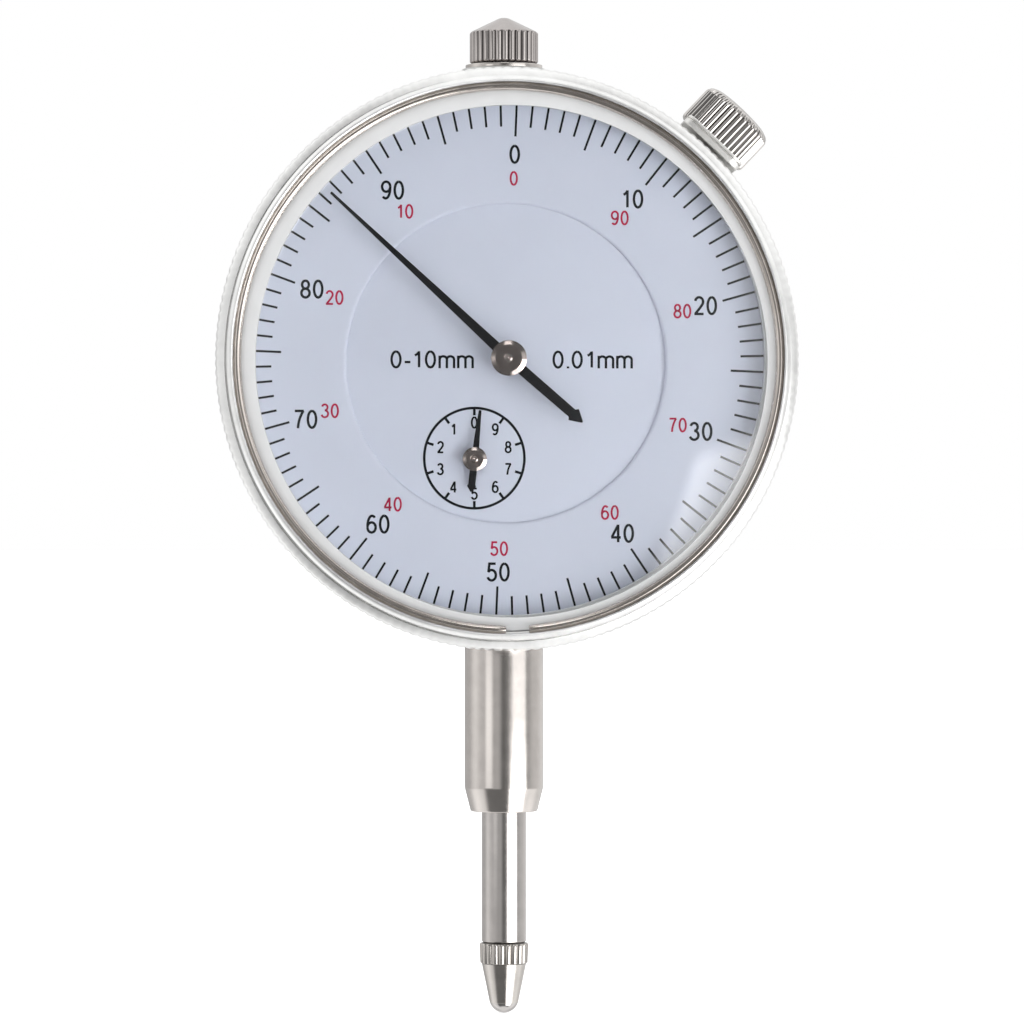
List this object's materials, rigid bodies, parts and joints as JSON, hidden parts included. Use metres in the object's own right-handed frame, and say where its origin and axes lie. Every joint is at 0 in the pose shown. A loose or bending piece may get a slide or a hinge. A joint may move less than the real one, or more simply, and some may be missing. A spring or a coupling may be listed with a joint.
{
  "type": "dial indicator",
  "caption": "Plunger dial indicator: round dial with a long hand and a revolution counter, rotating bezel, clamping stem, ball contact point and lug back.",
  "frame": {"origin": "on the stem's axis, halfway along the stem's clamping length", "axes": "-Z along the stem towards the contact point, -Y out of the dial's face, +X to the right as the dial is read, along the lug's hole"},
  "size_m": [0.0584, 0.0369, 0.1011],
  "materials": {
    "cast_aluminium": "satin, lightly textured",
    "bezel_aluminium": "bright satin, turned",
    "satin_steel": "ground satin",
    "knurled_steel": "nickel plated, satin",
    "polished_steel": "polished",
    "screw_steel": "bright",
    "movement_steel": "bright",
    "brass": "satin",
    "dial_paint": "matte pale blue-grey",
    "hand_black": "matte black",
    "hub_steel": "turned, slightly brown",
    "crystal": "clear, flat"
  },
  "bodies": {
    "case": {"case_body": "cast_aluminium", "stem_sleeve": "satin_steel", "stem_lower_bush": "brass", "stem_upper_bush": "brass", "top_bush": "satin_steel", "back_cover": "cast_aluminium", "back_cover_screws": "screw_steel", "lug": "cast_aluminium", "lug_screws": "screw_steel", "movement_bridge": "brass", "bridge_pillars": "brass", "bridge_screws": "screw_steel", "front_bushes": "brass", "rear_bushes": "brass", "pinion_cock": "brass", "pinion_cock_screws": "screw_steel", "guide_rail": "brass", "guide_rail_screws": "screw_steel", "spring_post": "movement_steel", "return_spring": "movement_steel", "hairspring_stud": "movement_steel", "inner_dial": "dial_paint", "bezel_retaining_wire": "polished_steel"},
    "bezel": {"bezel_ring": "bezel_aluminium", "crystal": "crystal", "crystal_retaining_ring": "polished_steel", "scale_dial": "dial_paint"},
    "plunger": {"plunger_rod": "satin_steel", "contact_point": "satin_steel", "contact_ball": "polished_steel", "lifting_cap": "knurled_steel", "guide_pin": "satin_steel"},
    "counter_shaft": {"rack_pinion": "movement_steel", "main_gear": "brass", "counter_hand_blade": "hand_black", "counter_hand_hub": "hub_steel"},
    "centre_shaft": {"centre_pinion": "movement_steel", "long_hand_blade": "hand_black", "long_hand_hub": "hub_steel"},
    "takeup_shaft": {"takeup_arbor": "movement_steel", "takeup_gear": "brass", "hairspring": "movement_steel"},
    "clamp_shoe": {"clamp_shoe": "knurled_steel"},
    "clamp_screw": {"clamp_screw": "knurled_steel", "clamp_knob": "knurled_steel"}
  },
  "joints": [
    {"name": "plunger_slide", "type": "slide", "parent": "case", "child": "plunger", "axis": [0, 0, 1], "range_m": [0, 0.0104], "stiffness_N_per_m": 50, "springref_m": -0.016, "deforming": ["return_spring"]},
    {"name": "bezel_turn", "type": "hinge", "parent": "case", "child": "bezel", "pos_m": [0, 0, 0.0364], "axis": [0, 1, 0], "continuous": true},
    {"name": "counter_shaft_spin", "type": "hinge", "parent": "case", "child": "counter_shaft", "pos_m": [-0.00334, 0, 0.02638], "axis": [0, 1, 0], "range_deg": [-375, 0]},
    {"name": "centre_shaft_spin", "type": "hinge", "parent": "case", "child": "centre_shaft", "pos_m": [0, 0, 0.0364], "axis": [0, 1, 0], "range_deg": [0, 3745]},
    {"name": "takeup_shaft_spin", "type": "hinge", "parent": "case", "child": "takeup_shaft", "pos_m": [0.00334, 0, 0.04642], "axis": [0, 1, 0], "range_deg": [-375, 0], "deforming": ["hairspring"]},
    {"name": "clamp_shoe_slide", "type": "slide", "parent": "case", "child": "clamp_shoe", "axis": [-0.6884, 0, -0.7254], "range_m": [0, 0.00025]},
    {"name": "clamp_screw_turn", "type": "hinge", "parent": "clamp_shoe", "child": "clamp_screw", "pos_m": [0, 0, 0.0364], "axis": [-0.6884, 0, -0.7254], "range_deg": [0, 180]}
  ],
  "couplings": [
    {"joint": "counter_shaft_spin", "follows": "plunger_slide", "rad_per_m": -628.32},
    {"joint": "centre_shaft_spin", "follows": "plunger_slide", "rad_per_m": 6283.2},
    {"joint": "takeup_shaft_spin", "follows": "plunger_slide", "rad_per_m": -628.32},
    {"joint": "clamp_screw_turn", "follows": "clamp_shoe_slide", "rad_per_m": 12566}
  ]
}
